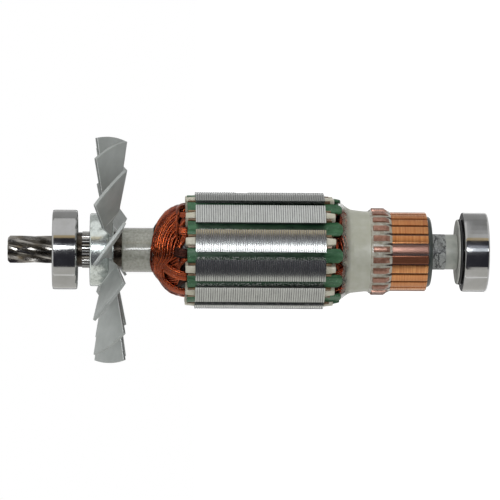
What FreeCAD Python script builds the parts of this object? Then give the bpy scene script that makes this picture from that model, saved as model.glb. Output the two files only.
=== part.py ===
import FreeCAD, Part
import math
import os
from types import SimpleNamespace

import Sketcher
from FreeCAD import Placement, Rotation, Vector

# Wound armature of a hand-held power tool, standing on its commutator-end bearing.
# The shaft runs along +Z. Z is zero on the outer face of the rear bearing, and the
# helical pinion cut in the shaft's end is at the top. Lengths in millimetres.

os.makedirs("parts", exist_ok=True)
doc = FreeCAD.newDocument("motor_armature")

SIZES = [
    ("shaft_radius", 6.0, "bearing seats and the plain shaft under the insulation"),
    ("shaft_recess", 0.4, "rear end of the shaft, below the bearing's face"),
    ("shaft_chamfer", 0.5, "edge of the shaft's rear end"),
    ("centre_radius", 1.25, "lathe centres in both ends"),
    ("centre_angle", 60.0, "full angle of the lathe centres"),
    ("bearing_radius", 16.0, "outside of both ball bearings"),
    ("bearing_width", 10.0, "both ball bearings"),
    ("bearing_corner", 0.7, "rounded edges of the rings"),
    ("ring_land", 1.85, "shoulder of each ring, from the balls' pitch circle"),
    ("ball_radius", 2.95, "balls"),
    ("ball_count", 7, "balls in one bearing"),
    ("race_clearance", 0.08, "between a ball and its races"),
    ("seal_seat", 0.65, "depth of the groove that holds a seal in the outer ring"),
    ("seal_recess", 0.2, "seal below the ring's face"),
    ("seal_gauge", 0.9, "rubber seal"),
    ("seal_lip_gap", 0.15, "between a seal's lip and the inner ring"),
    ("cage_wall", 1.8, "ball cage, across its ring"),
    ("cage_seal_gap", 0.25, "between the cage and each seal"),
    ("pocket_clearance", 0.12, "between a ball and its cage pocket"),
    ("lip_ring_radius", 13.3, "rubber ring beside the rear bearing"),
    ("lip_ring_gauge", 1.1, "rubber ring"),
    ("lip_ring_rim", 0.3, "rounded edge of the rubber ring"),
    ("lip_ring_gap", 0.3, "between the rubber ring and the outer ring"),
    ("lip_ring_boss_step", 0.7, "rubber ring's boss inside the edge of the inner ring"),
    ("washer_radius", 13.1, "dust washer over the rubber ring"),
    ("washer_gauge", 0.6, "dust washer"),
    ("washer_rim", 0.2, "rounded edges of the dust washer"),
    ("tube_wall", 2.9, "moulded insulation under the core"),
    ("tube_rear_wall", 1.2, "moulded insulation under the commutator"),
    ("tube_nose_wall", 1.1, "thinner rear end of the insulation"),
    ("tube_nose_length", 4.8, "thinner rear end of the insulation"),
    ("tube_chamfer", 0.25, "front edge of the insulation"),
    ("commutator_offset", 10.7, "dust washer to the commutator's end ring"),
    ("moulding_radius", 14.3, "end ring of the commutator's moulding"),
    ("moulding_corner", 1.5, "rounded edge of that end ring"),
    ("moulding_flange", 1.9, "end ring's thickness"),
    ("bar_count", 24, "commutator bars"),
    ("bar_angle", 3.0, "first bar, from +X"),
    ("bar_radius", 15.9, "brush track"),
    ("bar_depth", 4.3, "height of a bar"),
    ("bar_chamfer", 0.3, "bar's edge at the end ring"),
    ("bar_foot", 0.8, "bar's foot, inside its ends"),
    ("bar_foot_height", 0.7, "straight part of the foot"),
    ("bar_waist", 2.2, "undercut above the foot that the moulding grips"),
    ("bar_waist_height", 1.1, "slope between the foot and the waist"),
    ("track_length", 15.0, "brush track"),
    ("riser_length", 7.9, "riser behind the track"),
    ("riser_height", 0.4, "riser above the track"),
    ("hook_height", 1.2, "flattened hook above the riser"),
    ("hook_width", 2.2, "flattened hook"),
    ("hook_bevel", 0.9, "sloping end of the hook at the leads"),
    ("hook_slope", 2.1, "sloping end of the hook at the track"),
    ("undercut_width", 0.7, "slot between two bars"),
    ("undercut_depth", 0.7, "moulding below the track in that slot"),
    ("lead_length", 18.6, "commutator to core, where the leads run"),
    ("lead_wall", 0.85, "resin over the leads"),
    ("resin_length", 10.0, "resin band from the riser to the rear coils"),
    ("resin_rear_radius", 16.15, "resin at the riser"),
    ("resin_front_radius", 17.4, "resin at the coils"),
    ("resin_hollow_radius", 60.0, "hollow sweep of the resin's surface"),
    ("core_length", 51.7, "stack of laminations"),
    ("core_radius", 23.45, "outside of the laminations"),
    ("slot_count", 12, "slots"),
    ("slot_angle", 24.8, "first slot, from +X"),
    ("slot_opening", 3.2, "gap between two tooth tips"),
    ("slot_lip", 1.15, "tooth tip's thickness at the opening"),
    ("slot_shoulder", 2.25, "depth at which a tooth tip meets its neck"),
    ("slot_floor_radius", 12.2, "bottom of the slots"),
    ("tooth_neck", 3.3, "width of a tooth"),
    ("insulator_length", 4.0, "end insulators"),
    ("insulator_margin", 0.95, "insulator's arms inside the core's outside"),
    ("insulator_round", 0.7, "rounded ends of the arms"),
    ("paper_gauge", 0.35, "slot liner"),
    ("paper_cuff", 2.6, "slot liner past each end of the core"),
    ("wedge_width", 5.9, "slot wedge"),
    ("wedge_gauge", 1.5, "slot wedge"),
    ("wedge_shoulder", 0.6, "sloping edges of the wedge"),
    ("wedge_clearance", 0.15, "between the wedge and the tooth tips"),
    ("wedge_front", 3.3, "wedge past the front of the core"),
    ("wedge_rear", 6.9, "wedge past the rear of the core"),
    ("wedge_tongue_round", 2.4, "rounded corners of its rear end"),
    ("coil_margin", 4.5, "coil heads inside the core's outside"),
    ("coil_front_length", 17.7, "front coil head from the core"),
    ("coil_belly", 7.2, "straight part of the front head from the core"),
    ("coil_front_lip", 1.0, "front head's face around the insulation"),
    ("coil_dome_radius", 19.0, "arc of the front head"),
    ("fan_side_length", 29.4, "core to the shaft's shoulder"),
    ("shoulder_length", 3.3, "plain shoulder before the knurl"),
    ("shoulder_radius", 7.4, "plain shoulder"),
    ("knurl_length", 12.6, "straight knurl that holds the fan's hub"),
    ("knurl_radius", 7.375, "crests of the knurl"),
    ("knurl_depth", 0.4, "knurl"),
    ("knurl_count", 34, "teeth of the knurl"),
    ("knurl_crest_share", 0.3, "share of the pitch that the crests take"),
    ("collar_length", 1.9, "collar against the front bearing"),
    ("collar_radius", 7.0, "collar"),
    ("hub_length", 7.7, "fan's hub in front of its sheet"),
    ("hub_radius", 14.65, "fan's hub"),
    ("hub_chamfer", 0.4, "edges of the hub"),
    ("hub_spigot_radius", 10.0, "spigot through the fan's hole"),
    ("hub_stake_height", 0.6, "staked rim behind the fan"),
    ("hub_stake_width", 0.8, "staked rim over the fan"),
    ("fan_gauge", 1.2, "aluminium sheet"),
    ("fan_radius", 45.6, "tips of the blades"),
    ("fan_web_radius", 15.2, "flat middle of the fan"),
    ("blade_count", 12, "blades"),
    ("blade_angle", 3.0, "first blade, from +X"),
    ("blade_half_angle", 13.0, "half the angle that a blade takes of the disc"),
    ("blade_twist_angle", 35.5, "blade out of the disc's plane"),
    ("blade_foot_length", 0.8, "flat foot of a blade outside the web"),
    ("blade_neck_length", 6.4, "root over which a blade twists"),
    ("pinion_length", 18.0, "toothed end of the shaft"),
    ("pinion_radius", 5.5, "tips of the teeth"),
    ("pinion_root_radius", 3.35, "bottom of the tooth gaps"),
    ("pinion_teeth", 8, "teeth"),
    ("pinion_lead", 117.0, "length of one full turn of a tooth"),
    ("tooth_root_angle", 17.0, "half a tooth at the root"),
    ("tooth_pitch_angle", 11.5, "half a tooth at the pitch circle"),
    ("tooth_tip_angle", 4.6, "half a tooth at the tip"),
    ("pinion_chamfer", 0.9, "end of the teeth"),
]


class Size:
    """A length, angle or count: its formula in the sheet's names and its present value."""

    def __init__(self, formula, value):
        self.formula = formula
        self.value = value

    def __add__(self, other):
        return Size(f"({self.formula} + {formula_of(other)})", self.value + value_of(other))

    def __radd__(self, other):
        return Size(f"({formula_of(other)} + {self.formula})", value_of(other) + self.value)

    def __sub__(self, other):
        return Size(f"({self.formula} - {formula_of(other)})", self.value - value_of(other))

    def __rsub__(self, other):
        return Size(f"({formula_of(other)} - {self.formula})", value_of(other) - self.value)

    def __mul__(self, other):
        return Size(f"({self.formula} * {formula_of(other)})", self.value * value_of(other))

    def __rmul__(self, other):
        return Size(f"({formula_of(other)} * {self.formula})", value_of(other) * self.value)

    def __truediv__(self, other):
        return Size(f"({self.formula} / {formula_of(other)})", self.value / value_of(other))

    def __rtruediv__(self, other):
        return Size(f"({formula_of(other)} / {self.formula})", value_of(other) / self.value)

    def __neg__(self):
        return Size(f"(0 - {self.formula})", -self.value)


def formula_of(size):
    return size.formula if isinstance(size, Size) else str(size)


def value_of(size):
    return size.value if isinstance(size, Size) else size


def sine(angle):
    return Size(f"sin({formula_of(angle)})", math.sin(math.radians(value_of(angle))))


def cosine(angle):
    return Size(f"cos({formula_of(angle)})", math.cos(math.radians(value_of(angle))))


def tangent(angle):
    return Size(f"tan({formula_of(angle)})", math.tan(math.radians(value_of(angle))))


def arc_sine(ratio):
    return Size(f"(asin({formula_of(ratio)}) / (1 deg))", math.degrees(math.asin(value_of(ratio))))


def square_root(size):
    return Size(f"sqrt({formula_of(size)})", math.sqrt(value_of(size)))


def polar(radius, angle):
    return (radius * cosine(angle), radius * sine(angle))


sheet = doc.addObject("Spreadsheet::Sheet", "Sizes")
dim = SimpleNamespace()
for row, (alias, amount, words) in enumerate(SIZES, start=1):
    sheet.set(f"A{row}", alias)
    sheet.set(f"B{row}", str(amount))
    sheet.set(f"C{row}", words)
    sheet.setAlias(f"B{row}", alias)
    setattr(dim, alias, Size(f"Sizes.{alias}", amount))
doc.recompute()


# Drawing and feature helpers

def bind(item, name, size):
    item.setExpression(name, formula_of(size))


def origin_feature(body, role):
    return next(item for item in body.Origin.OriginFeatures if item.Role == role)


def new_body(label, spin=None):
    body = doc.addObject("PartDesign::Body", label)
    body.Label = label
    body.AllowCompound = True
    body.Placement = Placement(Vector(), Rotation(Vector(0, 0, 1), value_of(spin or 0)))
    if spin is not None:
        bind(body, "Placement.Rotation.Angle", spin)
    return body


def attach(item, body, role, base=None, spin=None):
    """Lays item on one of its body's planes, lifted along the plane's axes and spun on its X or Z."""
    item.AttachmentSupport = (origin_feature(body, role), [""])
    item.MapMode = "FlatFace"
    if spin is not None:
        axis, angle = spin
        item.AttachmentOffset = Placement(Vector(), Rotation(axis, value_of(angle)))
        bind(item, "AttachmentOffset.Rotation.Angle", angle)
    for letter, lift in (base or {}).items():
        bind(item, f"AttachmentOffset.Base.{letter}", lift)


def draw(body, name, role, path, base=None, spin=None):
    """A closed outline, drawn anticlockwise. Each item of path is a corner, or the words
    "bulge" or "hollow" with a radius for a round stretch between the corners beside it."""
    sketch = body.newObject("Sketcher::SketchObject", name)
    attach(sketch, body, role, base, spin)
    corners = []
    bends = {}
    for step in path:
        if step[0] in ("bulge", "hollow"):
            bends[len(corners) - 1] = step
        else:
            corners.append(step)
    spots = [Vector(value_of(x), value_of(y), 0) for x, y in corners]
    ends = []
    for index, start in enumerate(spots):
        stop = spots[(index + 1) % len(spots)]
        if index not in bends:
            sketch.addGeometry(Part.LineSegment(start, stop))
            ends.append((1, 2))
            continue
        kind, radius = bends[index]
        radius = value_of(radius)
        chord = stop - start
        inward = Vector(-chord.y, chord.x, 0).normalize()
        side = 1 if kind == "bulge" else -1
        reach = math.sqrt(max(radius ** 2 - (chord.Length / 2) ** 2, 0))
        centre = (start + stop) / 2 + inward * reach * side
        first, last = (start, stop) if kind == "bulge" else (stop, start)
        angles = [math.atan2(spot.y - centre.y, spot.x - centre.x) for spot in (first, last)]
        sketch.addGeometry(Part.ArcOfCircle(Part.Circle(centre, Vector(0, 0, 1), radius), *angles))
        ends.append((1, 2) if kind == "bulge" else (2, 1))
    for index, (x, y) in enumerate(corners):
        after = (index + 1) % len(corners)
        sketch.addConstraint(Sketcher.Constraint("Coincident", index, ends[index][1], after, ends[after][0]))
        for kind, place in (("DistanceX", x), ("DistanceY", y)):
            rule = Sketcher.Constraint(kind, -1, 1, index, ends[index][0], value_of(place))
            number = sketch.addConstraint(rule)
            if isinstance(place, Size):
                bind(sketch, f"Constraints[{number}]", place)
        if index in bends:
            number = sketch.addConstraint(Sketcher.Constraint("Radius", index, value_of(bends[index][1])))
            bind(sketch, f"Constraints[{number}]", bends[index][1])
    return sketch


def turn(body, name, path, kind="PartDesign::Revolution", angle=None):
    """Turns an outline of (radius, height) corners about Z, all round or by an angle about +X."""
    sketch = draw(body, f"{name}_outline", "XZ_Plane", path)
    turned = body.newObject(kind, name)
    turned.Profile = sketch
    turned.ReferenceAxis = (sketch, ["V_Axis"])
    turned.Angle = 360
    if angle is not None:
        turned.Midplane = True
        bind(turned, "Angle", angle)
    return turned


def pad(body, name, path, base, length):
    """Raises an outline on a level plane from base by length."""
    sketch = draw(body, f"{name}_outline", "XY_Plane", path, base={"z": base})
    raised = body.newObject("PartDesign::Pad", name)
    raised.Profile = sketch
    bind(raised, "Length", length)
    return raised


def pattern(body, name, originals, count):
    ring = body.newObject("PartDesign::PolarPattern", name)
    ring.Originals = originals
    ring.Axis = (origin_feature(body, "Z_Axis"), [""])
    ring.Angle = 360
    bind(ring, "Occurrences", count)
    body.Tip = ring
    return ring


def rectangle(inner, outer, low, high):
    return [(inner, low), (outer, low), (outer, high), (inner, high)]


# Stations along the shaft, from the rear bearing's outer face to the tip of the pinion
lip_ring_base = dim.bearing_width + dim.lip_ring_gap
washer_base = lip_ring_base + dim.lip_ring_gauge
washer_top = washer_base + dim.washer_gauge
commutator_base = washer_top + dim.commutator_offset
bar_base = commutator_base + dim.moulding_flange
riser_base = bar_base + dim.track_length
commutator_top = riser_base + dim.riser_length
core_base = commutator_top + dim.lead_length
core_top = core_base + dim.core_length
shoulder_base = core_top + dim.fan_side_length
knurl_base = shoulder_base + dim.shoulder_length
collar_base = knurl_base + dim.knurl_length
front_bearing_base = collar_base + dim.collar_length
pinion_base = front_bearing_base + dim.bearing_width
pinion_top = pinion_base + dim.pinion_length

# Radii that several pieces share
tube_radius = dim.shaft_radius + dim.tube_wall
tube_rear_radius = dim.shaft_radius + dim.tube_rear_wall


def make_shaft():
    """Turned and hardened steel: bearing seats, shoulder, knurl, collar and the pinion cut in its end."""
    body = new_body("shaft")
    rear = dim.shaft_recess
    centre_depth = dim.centre_radius / tangent(dim.centre_angle / 2)
    knurl_root = dim.knurl_radius - dim.knurl_depth
    turn(body, "turned_shaft", [
        (0, rear + centre_depth),
        (dim.centre_radius, rear),
        (dim.shaft_radius - dim.shaft_chamfer, rear),
        (dim.shaft_radius, rear + dim.shaft_chamfer),
        (dim.shaft_radius, shoulder_base),
        (dim.shoulder_radius, shoulder_base),
        (dim.shoulder_radius, knurl_base),
        (knurl_root, knurl_base),
        (knurl_root, collar_base),
        (dim.collar_radius, collar_base),
        (dim.collar_radius, front_bearing_base),
        (dim.shaft_radius, front_bearing_base),
        (dim.shaft_radius, pinion_base),
        (dim.pinion_root_radius, pinion_base),
        (dim.pinion_root_radius, pinion_top),
        (dim.centre_radius, pinion_top),
        (0, pinion_top - centre_depth),
    ])
    half_pitch = 180 / dim.knurl_count
    buried_root = knurl_root - dim.knurl_depth / 2
    tooth = pad(body, "knurl_tooth", [
        polar(buried_root, -half_pitch),
        polar(knurl_root, -half_pitch),
        polar(dim.knurl_radius, -(half_pitch * dim.knurl_crest_share)),
        polar(dim.knurl_radius, half_pitch * dim.knurl_crest_share),
        polar(knurl_root, half_pitch),
        polar(buried_root, half_pitch),
    ], knurl_base, dim.knurl_length)
    pattern(body, "knurl", [tooth], dim.knurl_count)

    buried = dim.pinion_root_radius * 0.9
    pitch_radius = (dim.pinion_root_radius + dim.pinion_radius) / 2
    tooth_section = draw(body, "tooth_section", "XY_Plane", [
        polar(buried, -dim.tooth_root_angle),
        polar(dim.pinion_root_radius, -dim.tooth_root_angle),
        polar(pitch_radius, -dim.tooth_pitch_angle),
        polar(dim.pinion_radius, -dim.tooth_tip_angle),
        polar(dim.pinion_radius, dim.tooth_tip_angle),
        polar(pitch_radius, dim.tooth_pitch_angle),
        polar(dim.pinion_root_radius, dim.tooth_root_angle),
        polar(buried, dim.tooth_root_angle),
    ], base={"z": pinion_base})
    axis_line = body.newObject("Sketcher::SketchObject", "pinion_axis")
    attach(axis_line, body, "XZ_Plane")
    axis_line.addGeometry(Part.LineSegment(Vector(0, pinion_base.value, 0), Vector(0, pinion_top.value, 0)))
    axis_line.addConstraint(Sketcher.Constraint("PointOnObject", 0, 1, -2))
    axis_line.addConstraint(Sketcher.Constraint("PointOnObject", 0, 2, -2))
    for end, height in ((1, pinion_base), (2, pinion_top)):
        number = axis_line.addConstraint(Sketcher.Constraint("DistanceY", -1, 1, 0, end, height.value))
        bind(axis_line, f"Constraints[{number}]", height)
    lead = doc.addObject("Part::Helix", "pinion_lead")
    bind(lead, "Pitch", dim.pinion_lead)
    bind(lead, "Height", dim.pinion_length)
    bind(lead, "Radius", dim.pinion_radius)
    bind(lead, "Placement.Base.z", pinion_base)
    doc.recompute()
    helical_tooth = body.newObject("PartDesign::AdditivePipe", "helical_tooth")
    helical_tooth.Profile = tooth_section
    helical_tooth.Spine = (axis_line, ["Edge1"])
    helical_tooth.AuxiliarySpine = (lead, ["Edge1"])
    helical_tooth.Mode = "Auxiliary"
    helical_tooth.AuxiliaryCurvilinear = False
    pattern(body, "pinion", [helical_tooth], dim.pinion_teeth)

    spare = 1
    turn(body, "pinion_bevel", [
        (dim.pinion_radius - dim.pinion_chamfer - spare, pinion_top + spare),
        (dim.pinion_radius + spare, pinion_top - dim.pinion_chamfer - spare),
        (dim.pinion_radius + spare, pinion_top + spare),
    ], kind="PartDesign::Groove")


def make_bearing(end, base):
    """A sealed deep-groove ball bearing: two rings, balls, cage and two rubber seals."""
    pitch_radius = (dim.shaft_radius + dim.bearing_radius) / 2
    inner_land = pitch_radius - dim.ring_land
    outer_land = pitch_radius + dim.ring_land
    seal_radius = outer_land + dim.seal_seat
    seal_depth = dim.seal_recess + dim.seal_gauge
    top = base + dim.bearing_width
    middle = base + dim.bearing_width / 2
    corner = dim.bearing_corner
    bore_corner = corner / 2
    race_radius = dim.ball_radius + dim.race_clearance
    race_half = square_root(race_radius * race_radius - dim.ring_land * dim.ring_land)

    outer = new_body(f"{end}_bearing_outer_ring")
    turn(outer, "outer_ring", [
        (outer_land, base + seal_depth),
        (seal_radius, base + seal_depth),
        (seal_radius, base),
        (dim.bearing_radius - corner, base),
        ("bulge", corner),
        (dim.bearing_radius, base + corner),
        (dim.bearing_radius, top - corner),
        ("bulge", corner),
        (dim.bearing_radius - corner, top),
        (seal_radius, top),
        (seal_radius, top - seal_depth),
        (outer_land, top - seal_depth),
        (outer_land, middle + race_half),
        ("hollow", race_radius),
        (outer_land, middle - race_half),
    ])
    inner = new_body(f"{end}_bearing_inner_ring")
    turn(inner, "inner_ring", [
        (dim.shaft_radius, base + bore_corner),
        (dim.shaft_radius + bore_corner, base),
        (inner_land, base),
        (inner_land, middle - race_half),
        ("hollow", race_radius),
        (inner_land, middle + race_half),
        (inner_land, top),
        (dim.shaft_radius + bore_corner, top),
        (dim.shaft_radius, top - bore_corner),
    ])
    balls = new_body(f"{end}_bearing_balls")
    ball = balls.newObject("PartDesign::AdditiveSphere", "ball")
    attach(ball, balls, "XY_Plane", base={"x": pitch_radius, "z": middle})
    bind(ball, "Radius", dim.ball_radius)
    pattern(balls, "balls", [ball], dim.ball_count)

    cage = new_body(f"{end}_bearing_cage")
    turn(cage, "cage_ring", rectangle(
        pitch_radius - dim.cage_wall / 2,
        pitch_radius + dim.cage_wall / 2,
        base + seal_depth + dim.cage_seal_gap,
        top - seal_depth - dim.cage_seal_gap,
    ))
    pocket = cage.newObject("PartDesign::SubtractiveCylinder", "ball_pocket")
    attach(pocket, cage, "YZ_Plane", base={"y": middle, "z": pitch_radius - dim.cage_wall})
    bind(pocket, "Radius", dim.ball_radius + dim.pocket_clearance)
    bind(pocket, "Height", 2 * dim.cage_wall)
    pattern(cage, "ball_pockets", [pocket], dim.ball_count)

    seals = (("lower", base + dim.seal_recess), ("upper", top - seal_depth))
    for side, face in seals:
        seal = new_body(f"{end}_bearing_{side}_seal")
        turn(seal, "seal", rectangle(inner_land + dim.seal_lip_gap, seal_radius, face, face + dim.seal_gauge))


def make_dust_seal():
    """Black rubber ring with a boss against the inner ring, and the grey dust washer over it."""
    rubber = new_body("lip_ring")
    boss_radius = (dim.shaft_radius + dim.bearing_radius) / 2 - dim.ring_land - dim.lip_ring_boss_step
    rim = dim.lip_ring_rim
    turn(rubber, "rubber_ring", [
        (dim.shaft_radius, dim.bearing_width),
        (boss_radius, dim.bearing_width),
        (boss_radius, lip_ring_base),
        (dim.lip_ring_radius - rim, lip_ring_base),
        ("bulge", rim),
        (dim.lip_ring_radius, lip_ring_base + rim),
        (dim.lip_ring_radius, washer_base),
        (dim.shaft_radius, washer_base),
    ])
    washer = new_body("dust_washer")
    rim = dim.washer_rim
    turn(washer, "washer", [
        (dim.shaft_radius, washer_base),
        (dim.washer_radius - rim, washer_base),
        ("bulge", rim),
        (dim.washer_radius, washer_base + rim),
        (dim.washer_radius, washer_top - rim),
        ("bulge", rim),
        (dim.washer_radius - rim, washer_top),
        (dim.shaft_radius, washer_top),
    ])


def make_tube():
    """The insulation moulded on the shaft, from the dust washer to the shoulder under the fan."""
    body = new_body("shaft_insulation")
    nose_radius = dim.shaft_radius + dim.tube_nose_wall
    nose_top = washer_top + dim.tube_nose_length
    turn(body, "tube", [
        (dim.shaft_radius, washer_top),
        (nose_radius, washer_top),
        (nose_radius, nose_top),
        (tube_rear_radius, nose_top),
        (tube_rear_radius, commutator_top),
        (tube_radius, commutator_top),
        (tube_radius, shoulder_base - dim.tube_chamfer),
        (tube_radius - dim.tube_chamfer, shoulder_base),
        (dim.shaft_radius, shoulder_base),
    ])


def bar_profile():
    """Side view of a commutator bar: a dovetailed foot in the moulding, the track and the riser."""
    floor = dim.bar_radius - dim.bar_depth
    foot = floor + dim.bar_foot_height
    waist = foot + dim.bar_waist_height
    neck = waist + dim.bar_foot_height
    riser = dim.bar_radius + dim.riser_height
    return [
        (floor, bar_base + dim.bar_foot),
        (foot, bar_base + dim.bar_foot),
        (waist, bar_base + dim.bar_waist),
        (neck, bar_base + dim.bar_waist),
        (neck, bar_base),
        (dim.bar_radius - dim.bar_chamfer, bar_base),
        (dim.bar_radius, bar_base + dim.bar_chamfer),
        (dim.bar_radius, riser_base),
        (riser, riser_base + dim.riser_height),
        (riser, commutator_top - dim.riser_height),
        (riser - dim.riser_height, commutator_top),
        (neck, commutator_top),
        (neck, commutator_top - dim.bar_waist),
        (waist, commutator_top - dim.bar_waist),
        (foot, commutator_top - dim.bar_foot),
        (floor, commutator_top - dim.bar_foot),
    ]


bar_width_angle = 360 / dim.bar_count - 2 * arc_sine(dim.undercut_width / 2 / dim.bar_radius)


def make_bar(number):
    """One hard-drawn copper bar with its hook closed down over the coil ends."""
    body = new_body(f"commutator_bar_{number + 1:02d}", spin=dim.bar_angle + number * 360 / dim.bar_count)
    turn(body, "bar", bar_profile(), angle=bar_width_angle)
    riser = dim.bar_radius + dim.riser_height
    hook_top = riser + dim.hook_height
    sketch = draw(body, "hook_side", "XZ_Plane", [
        (dim.bar_radius - dim.hook_height, riser_base + dim.riser_height),
        (riser, riser_base + dim.riser_height),
        (hook_top, riser_base + dim.hook_slope),
        (hook_top, commutator_top - dim.hook_bevel),
        (riser, commutator_top - dim.riser_height),
        (dim.bar_radius - dim.hook_height, commutator_top - dim.riser_height),
    ])
    hook = body.newObject("PartDesign::Pad", "hook")
    hook.Profile = sketch
    hook.Midplane = True
    bind(hook, "Length", dim.hook_width)


def make_moulding():
    """Dark phenolic moulding that grips the bars: bore, end ring and the fins between the bars."""
    body = new_body("commutator_moulding", spin=dim.bar_angle)
    fin_radius = dim.bar_radius - dim.undercut_depth
    corner = dim.moulding_corner
    turn(body, "moulding", [
        (tube_rear_radius, commutator_base),
        (dim.moulding_radius - corner, commutator_base),
        ("bulge", corner),
        (dim.moulding_radius, commutator_base + corner),
        (dim.moulding_radius, bar_base),
        (fin_radius, bar_base),
        (fin_radius, commutator_top),
        (tube_rear_radius, commutator_top),
    ])
    seat = turn(body, "bar_seat", bar_profile(), kind="PartDesign::Groove", angle=bar_width_angle)
    pattern(body, "bar_seats", [seat], dim.bar_count)


# The slot's section: x runs out along the middle of the slot, y across it. The teeth have
# parallel sides, and the floor is an arc that meets both sides smoothly.
half_slot = 180 / dim.slot_count
floor_centre = (dim.slot_floor_radius - dim.tooth_neck / 2) / (1 - sine(half_slot))


def slot_side(radius, inset):
    """Half the slot's width at a radius, less what lines it."""
    return radius * tangent(half_slot) - (dim.tooth_neck / 2 + inset) / cosine(half_slot)


def slot_floor(inset):
    """Radius of the round floor, and the corner where it meets a side."""
    radius = floor_centre * sine(half_slot) - dim.tooth_neck / 2 - inset
    return radius, (floor_centre - radius * sine(half_slot), radius * cosine(half_slot))


def mirrored(corner):
    return (corner[0], -corner[1])


slot_shoulder_radius = dim.core_radius - dim.slot_shoulder
lip_radius = dim.core_radius - dim.slot_lip
wedge_top = lip_radius - dim.wedge_clearance
wedge_bottom = wedge_top - dim.wedge_gauge


def make_core():
    """Stack of electrical steel laminations on the insulated shaft, with its closed-in slots."""
    body = new_body("core_stack", spin=dim.slot_angle)
    turn(body, "stack", rectangle(tube_radius, dim.core_radius, core_base, core_top))
    spare = 1
    radius, foot = slot_floor(0)
    shoulder = (slot_shoulder_radius, slot_side(slot_shoulder_radius, 0))
    lip = (lip_radius, dim.slot_opening / 2)
    mouth = (dim.core_radius + spare, dim.slot_opening / 2)
    sketch = draw(body, "slot_outline", "XY_Plane", [
        mirrored(foot),
        mirrored(shoulder),
        mirrored(lip),
        mirrored(mouth),
        mouth,
        lip,
        shoulder,
        foot,
        ("bulge", radius),
    ], base={"z": core_top})
    slot = body.newObject("PartDesign::Pocket", "slot")
    slot.Profile = sketch
    bind(slot, "Length", dim.core_length)
    pattern(body, "slots", [slot], dim.slot_count)


def make_insulator(end, base):
    """Moulded end insulator: a ring on the shaft insulation with an arm over every tooth."""
    body = new_body(f"end_insulator_{end}", spin=dim.slot_angle + half_slot)
    top = base + dim.insulator_length
    turn(body, "ring", rectangle(tube_radius, dim.slot_floor_radius, base, top))
    half_arm = dim.tooth_neck / 2
    arm_end = dim.core_radius - dim.insulator_margin
    root = tube_radius + (dim.slot_floor_radius - tube_radius) / 2
    rounding = dim.insulator_round
    arm = pad(body, "arm", [
        (root, -half_arm),
        (arm_end - rounding, -half_arm),
        ("bulge", rounding),
        (arm_end, -half_arm + rounding),
        (arm_end, half_arm - rounding),
        ("bulge", rounding),
        (arm_end - rounding, half_arm),
        (root, half_arm),
    ], base, dim.insulator_length)
    pattern(body, "arms", [arm], dim.slot_count)


def make_liners():
    """Folded paper liners, one to a slot, open under the wedge and cuffed past both ends."""
    body = new_body("slot_liners", spin=dim.slot_angle)
    outer_radius, outer_foot = slot_floor(0)
    inner_radius, inner_foot = slot_floor(dim.paper_gauge)
    rim = wedge_bottom
    outer_rim = (rim, slot_side(rim, 0))
    inner_rim = (rim, slot_side(rim, dim.paper_gauge))
    liner = pad(body, "liner", [
        mirrored(outer_rim),
        mirrored(inner_rim),
        mirrored(inner_foot),
        ("hollow", inner_radius),
        inner_foot,
        inner_rim,
        outer_rim,
        outer_foot,
        ("bulge", outer_radius),
        mirrored(outer_foot),
    ], core_base - dim.paper_cuff, dim.core_length + 2 * dim.paper_cuff)
    pattern(body, "liners", [liner], dim.slot_count)


def make_wedge(number):
    """One green slot wedge under the tooth tips: square in front, a round tongue at the rear."""
    body = new_body(f"slot_wedge_{number + 1:02d}", spin=dim.slot_angle + number * 360 / dim.slot_count)
    half = dim.wedge_width / 2
    shoulder = wedge_top - dim.wedge_shoulder
    face = dim.slot_opening / 2
    rear = core_base - dim.wedge_rear
    pad(body, "strip", [
        (wedge_bottom, -half),
        (shoulder, -half),
        (wedge_top, -face),
        (wedge_top, face),
        (shoulder, half),
        (wedge_bottom, half),
    ], rear, dim.core_length + dim.wedge_rear + dim.wedge_front)

    spare = 1
    rounding = dim.wedge_tongue_round
    tongue = draw(body, "tongue_outline", "YZ_Plane", [
        (-half - spare, rear - spare),
        (half + spare, rear - spare),
        (half + spare, rear + rounding),
        (half, rear + rounding),
        ("hollow", rounding),
        (half - rounding, rear),
        (-half + rounding, rear),
        ("hollow", rounding),
        (-half, rear + rounding),
        (-half - spare, rear + rounding),
    ], base={"z": wedge_top + spare})
    trimmed = body.newObject("PartDesign::Pocket", "tongue")
    trimmed.Profile = tongue
    bind(trimmed, "Length", dim.wedge_gauge + 2 * spare)


def make_winding():
    """Enamelled copper coils as one wound mass: rear head with the leads, coil sides, front head."""
    body = new_body("armature_winding", spin=dim.slot_angle)
    head_radius = dim.core_radius - dim.coil_margin
    rear_top = core_base - dim.insulator_length
    front_base = core_top + dim.insulator_length
    resin_top = commutator_top + dim.resin_length
    turn(body, "rear_head", [
        (tube_radius, commutator_top),
        (dim.resin_rear_radius - dim.lead_wall, commutator_top),
        ("hollow", dim.resin_hollow_radius),
        (dim.resin_front_radius - dim.lead_wall, resin_top),
        (head_radius, rear_top),
        (tube_radius, rear_top),
    ])
    radius, foot = slot_floor(dim.paper_gauge)
    rim = (wedge_bottom, slot_side(wedge_bottom, dim.paper_gauge))
    side = pad(body, "coil_side", [
        mirrored(foot),
        mirrored(rim),
        rim,
        foot,
        ("bulge", radius),
    ], rear_top, dim.core_length + 2 * dim.insulator_length)
    pattern(body, "coil_sides", [side], dim.slot_count)
    turn(body, "front_head", [
        (tube_radius, front_base),
        (head_radius, front_base),
        (head_radius, core_top + dim.coil_belly),
        ("bulge", dim.coil_dome_radius),
        (tube_radius + dim.coil_front_lip, core_top + dim.coil_front_length),
        (tube_radius, core_top + dim.coil_front_length),
    ])


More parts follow.
